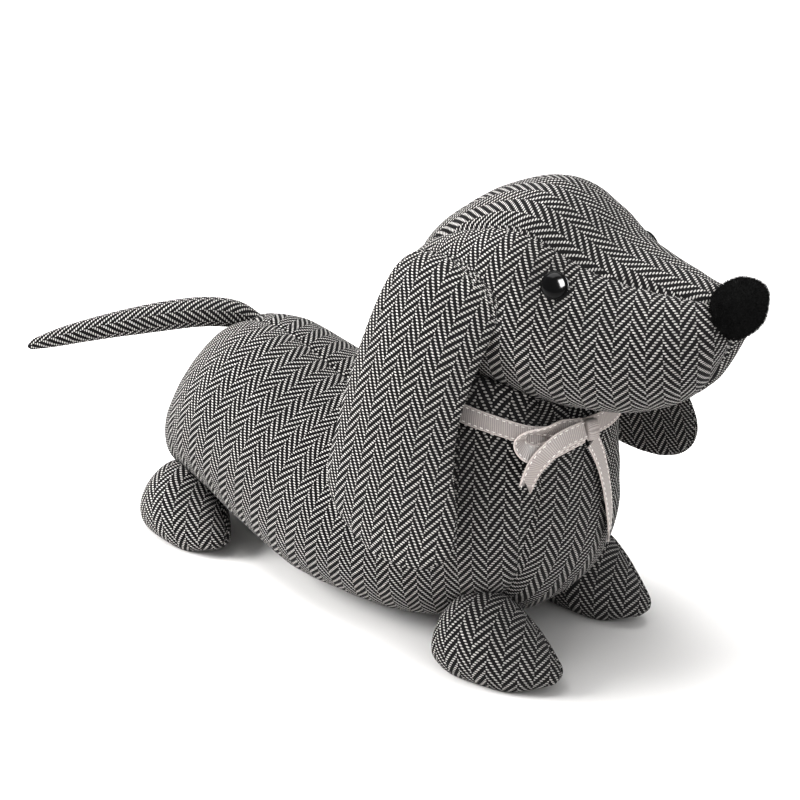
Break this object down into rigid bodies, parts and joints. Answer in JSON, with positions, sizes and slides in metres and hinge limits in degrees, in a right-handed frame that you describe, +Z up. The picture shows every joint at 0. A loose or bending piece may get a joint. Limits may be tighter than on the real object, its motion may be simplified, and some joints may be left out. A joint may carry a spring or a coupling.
{
  "type": "stuffed dog doorstop",
  "caption": "Weighted dachshund-shaped doorstop in herringbone cloth, with hanging ears, a plush nose and a ribbon tied in a half bow round the neck.",
  "frame": {"origin": "middle of the whole dog's length and width, on the floor that it rests on", "axes": "+X along the dog towards the nose, +Y to the dog's left, +Z up"},
  "size_m": [0.4554, 0.1876, 0.264],
  "materials": {
    "herringbone": "black and off-white wool herringbone twill, matt",
    "nose_plush": "short black plush pile",
    "eye_plastic": "polished black",
    "ribbon": "ribbed grosgrain with pale stitches along both edges"
  },
  "bodies": {
    "root": {"body": "herringbone", "head": "herringbone", "foot_front_right": "herringbone", "foot_front_left": "herringbone", "foot_back_right": "herringbone", "foot_back_left": "herringbone", "ear_right": "herringbone", "ear_left": "herringbone", "tail": "herringbone", "nose": "nose_plush", "eye_right": "eye_plastic", "eye_left": "eye_plastic", "ribbon_band": "ribbon", "ribbon_knot": "ribbon", "ribbon_loop": "ribbon", "ribbon_tail_right": "ribbon", "ribbon_tail_left": "ribbon"}
  },
  "joints": []
}
